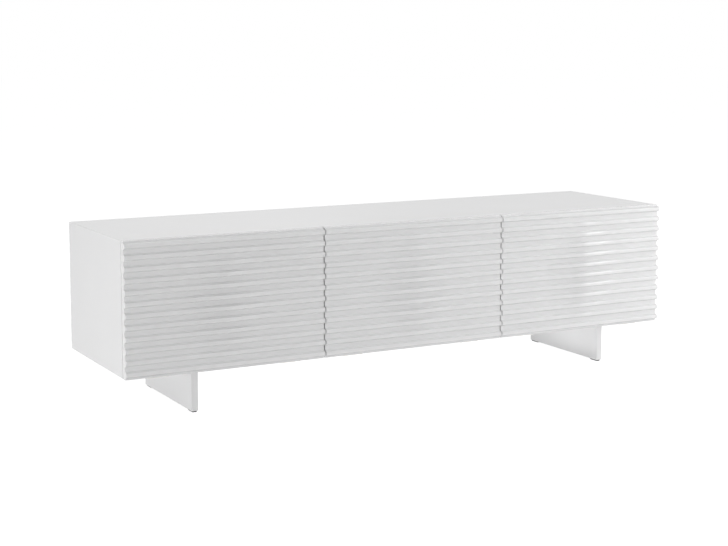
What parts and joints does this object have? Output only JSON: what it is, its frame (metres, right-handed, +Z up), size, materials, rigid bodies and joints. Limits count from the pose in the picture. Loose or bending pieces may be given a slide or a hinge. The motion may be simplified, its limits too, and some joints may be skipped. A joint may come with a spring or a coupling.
{
  "type": "tv stand with doors",
  "caption": "Long low media console on panel legs, with ribbed drop-down flap doors, inner shelves, push latches and soft-down stays.",
  "frame": {"origin": "on the floor, under the middle of the whole object, doors included", "axes": "+X along the length, towards the right-hand end as seen from the front; -Y out of the doors; +Z up"},
  "size_m": [2, 0.545, 0.55],
  "materials": {
    "white_lacquer": "satin white lacquer on board",
    "door_lacquer": "satin white lacquer on milled board",
    "inner_lacquer": "matt white foil on board",
    "beech": "plain beech",
    "nickel": "nickel-plated steel",
    "zinc_steel": "zinc-plated steel",
    "grey_tube": "grey powder coat",
    "black_plastic": "matt black",
    "white_plastic": "matt white",
    "clear_rubber": "soft clear pad"
  },
  "bodies": {
    "case": {"top_panel": "white_lacquer", "bottom_panel": "white_lacquer", "side_panel_left": "white_lacquer", "side_panel_right": "white_lacquer", "leg_left": "white_lacquer", "leg_right": "white_lacquer", "divider_left": "inner_lacquer", "divider_right": "inner_lacquer", "shelf_left": "inner_lacquer", "shelf_center": "inner_lacquer", "shelf_right": "inner_lacquer", "back_panel_left": "inner_lacquer", "back_panel_center": "inner_lacquer", "back_panel_right": "inner_lacquer", "divider_dowels": "beech", "shelf_pins": "nickel", "hinge_case_leaves": "nickel", "hinge_pins": "nickel", "hinge_case_screws": "nickel", "back_screws": "zinc_steel", "leg_bolts": "zinc_steel", "leg_inserts": "zinc_steel", "latch_screws": "zinc_steel", "stay_bracket_screws": "zinc_steel", "stay_case_brackets": "zinc_steel", "leg_glides": "black_plastic", "cable_grommets": "white_plastic", "latch_housings": "white_plastic", "door_bumpers": "clear_rubber"},
    "door_left": {"door_panel_left": "door_lacquer", "hinge_door_leaves_left": "nickel", "hinge_door_screws_left": "nickel", "strike_plate_left": "nickel", "stay_door_brackets_left": "zinc_steel", "stay_door_screws_left": "zinc_steel"},
    "stay_cylinders_left": {"stay_cylinders_left": "grey_tube"},
    "stay_rods_left": {"stay_rods_left": "zinc_steel"},
    "latch_plunger_left": {"latch_plunger_left": "white_plastic"},
    "door_center": {"door_panel_center": "door_lacquer", "hinge_door_leaves_center": "nickel", "hinge_door_screws_center": "nickel", "strike_plate_center": "nickel", "stay_door_brackets_center": "zinc_steel", "stay_door_screws_center": "zinc_steel"},
    "stay_cylinders_center": {"stay_cylinders_center": "grey_tube"},
    "stay_rods_center": {"stay_rods_center": "zinc_steel"},
    "latch_plunger_center": {"latch_plunger_center": "white_plastic"},
    "door_right": {"door_panel_right": "door_lacquer", "hinge_door_leaves_right": "nickel", "hinge_door_screws_right": "nickel", "strike_plate_right": "nickel", "stay_door_brackets_right": "zinc_steel", "stay_door_screws_right": "zinc_steel"},
    "stay_cylinders_right": {"stay_cylinders_right": "grey_tube"},
    "stay_rods_right": {"stay_rods_right": "zinc_steel"},
    "latch_plunger_right": {"latch_plunger_right": "white_plastic"}
  },
  "joints": [
    {"name": "door_hinge_left", "type": "hinge", "parent": "case", "child": "door_left", "pos_m": [-0.668, -0.231, 0.1265], "axis": [1, 0, 0], "range_deg": [0, 90]},
    {"name": "stay_tube_swing_left", "type": "hinge", "parent": "case", "child": "stay_cylinders_left", "pos_m": [-0.6615, -0.02091, 0.19179], "axis": [1, 0, 0], "range_deg": [0, 45]},
    {"name": "stay_rod_swing_left", "type": "hinge", "parent": "door_left", "child": "stay_rods_left", "pos_m": [-0.6615, -0.2205, 0.34625], "axis": [1, 0, 0], "range_deg": [-45, 0]},
    {"name": "latch_push_left", "type": "slide", "parent": "case", "child": "latch_plunger_left", "axis": [0, 1, 0], "range_m": [0, 0.0025], "stiffness_N_per_m": 400, "springref_m": -0.001},
    {"name": "door_hinge_center", "type": "hinge", "parent": "case", "child": "door_center", "pos_m": [0, -0.231, 0.1265], "axis": [1, 0, 0], "range_deg": [0, 90]},
    {"name": "stay_tube_swing_center", "type": "hinge", "parent": "case", "child": "stay_cylinders_center", "pos_m": [0, -0.02091, 0.19179], "axis": [1, 0, 0], "range_deg": [0, 45]},
    {"name": "stay_rod_swing_center", "type": "hinge", "parent": "door_center", "child": "stay_rods_center", "pos_m": [0, -0.2205, 0.34625], "axis": [1, 0, 0], "range_deg": [-45, 0]},
    {"name": "latch_push_center", "type": "slide", "parent": "case", "child": "latch_plunger_center", "axis": [0, 1, 0], "range_m": [0, 0.0025], "stiffness_N_per_m": 400, "springref_m": -0.001},
    {"name": "door_hinge_right", "type": "hinge", "parent": "case", "child": "door_right", "pos_m": [0.668, -0.231, 0.1265], "axis": [1, 0, 0], "range_deg": [0, 90]},
    {"name": "stay_tube_swing_right", "type": "hinge", "parent": "case", "child": "stay_cylinders_right", "pos_m": [0.6615, -0.02091, 0.19179], "axis": [1, 0, 0], "range_deg": [0, 45]},
    {"name": "stay_rod_swing_right", "type": "hinge", "parent": "door_right", "child": "stay_rods_right", "pos_m": [0.6615, -0.2205, 0.34625], "axis": [1, 0, 0], "range_deg": [-45, 0]},
    {"name": "latch_push_right", "type": "slide", "parent": "case", "child": "latch_plunger_right", "axis": [0, 1, 0], "range_m": [0, 0.0025], "stiffness_N_per_m": 400, "springref_m": -0.001}
  ],
  "couplings": [
    {"joint": "stay_tube_swing_left", "follows": "door_hinge_left", "ratio": 0.5},
    {"joint": "stay_rod_swing_left", "follows": "door_hinge_left", "ratio": -0.5},
    {"joint": "stay_tube_swing_center", "follows": "door_hinge_center", "ratio": 0.5},
    {"joint": "stay_rod_swing_center", "follows": "door_hinge_center", "ratio": -0.5},
    {"joint": "stay_tube_swing_right", "follows": "door_hinge_right", "ratio": 0.5},
    {"joint": "stay_rod_swing_right", "follows": "door_hinge_right", "ratio": -0.5}
  ]
}
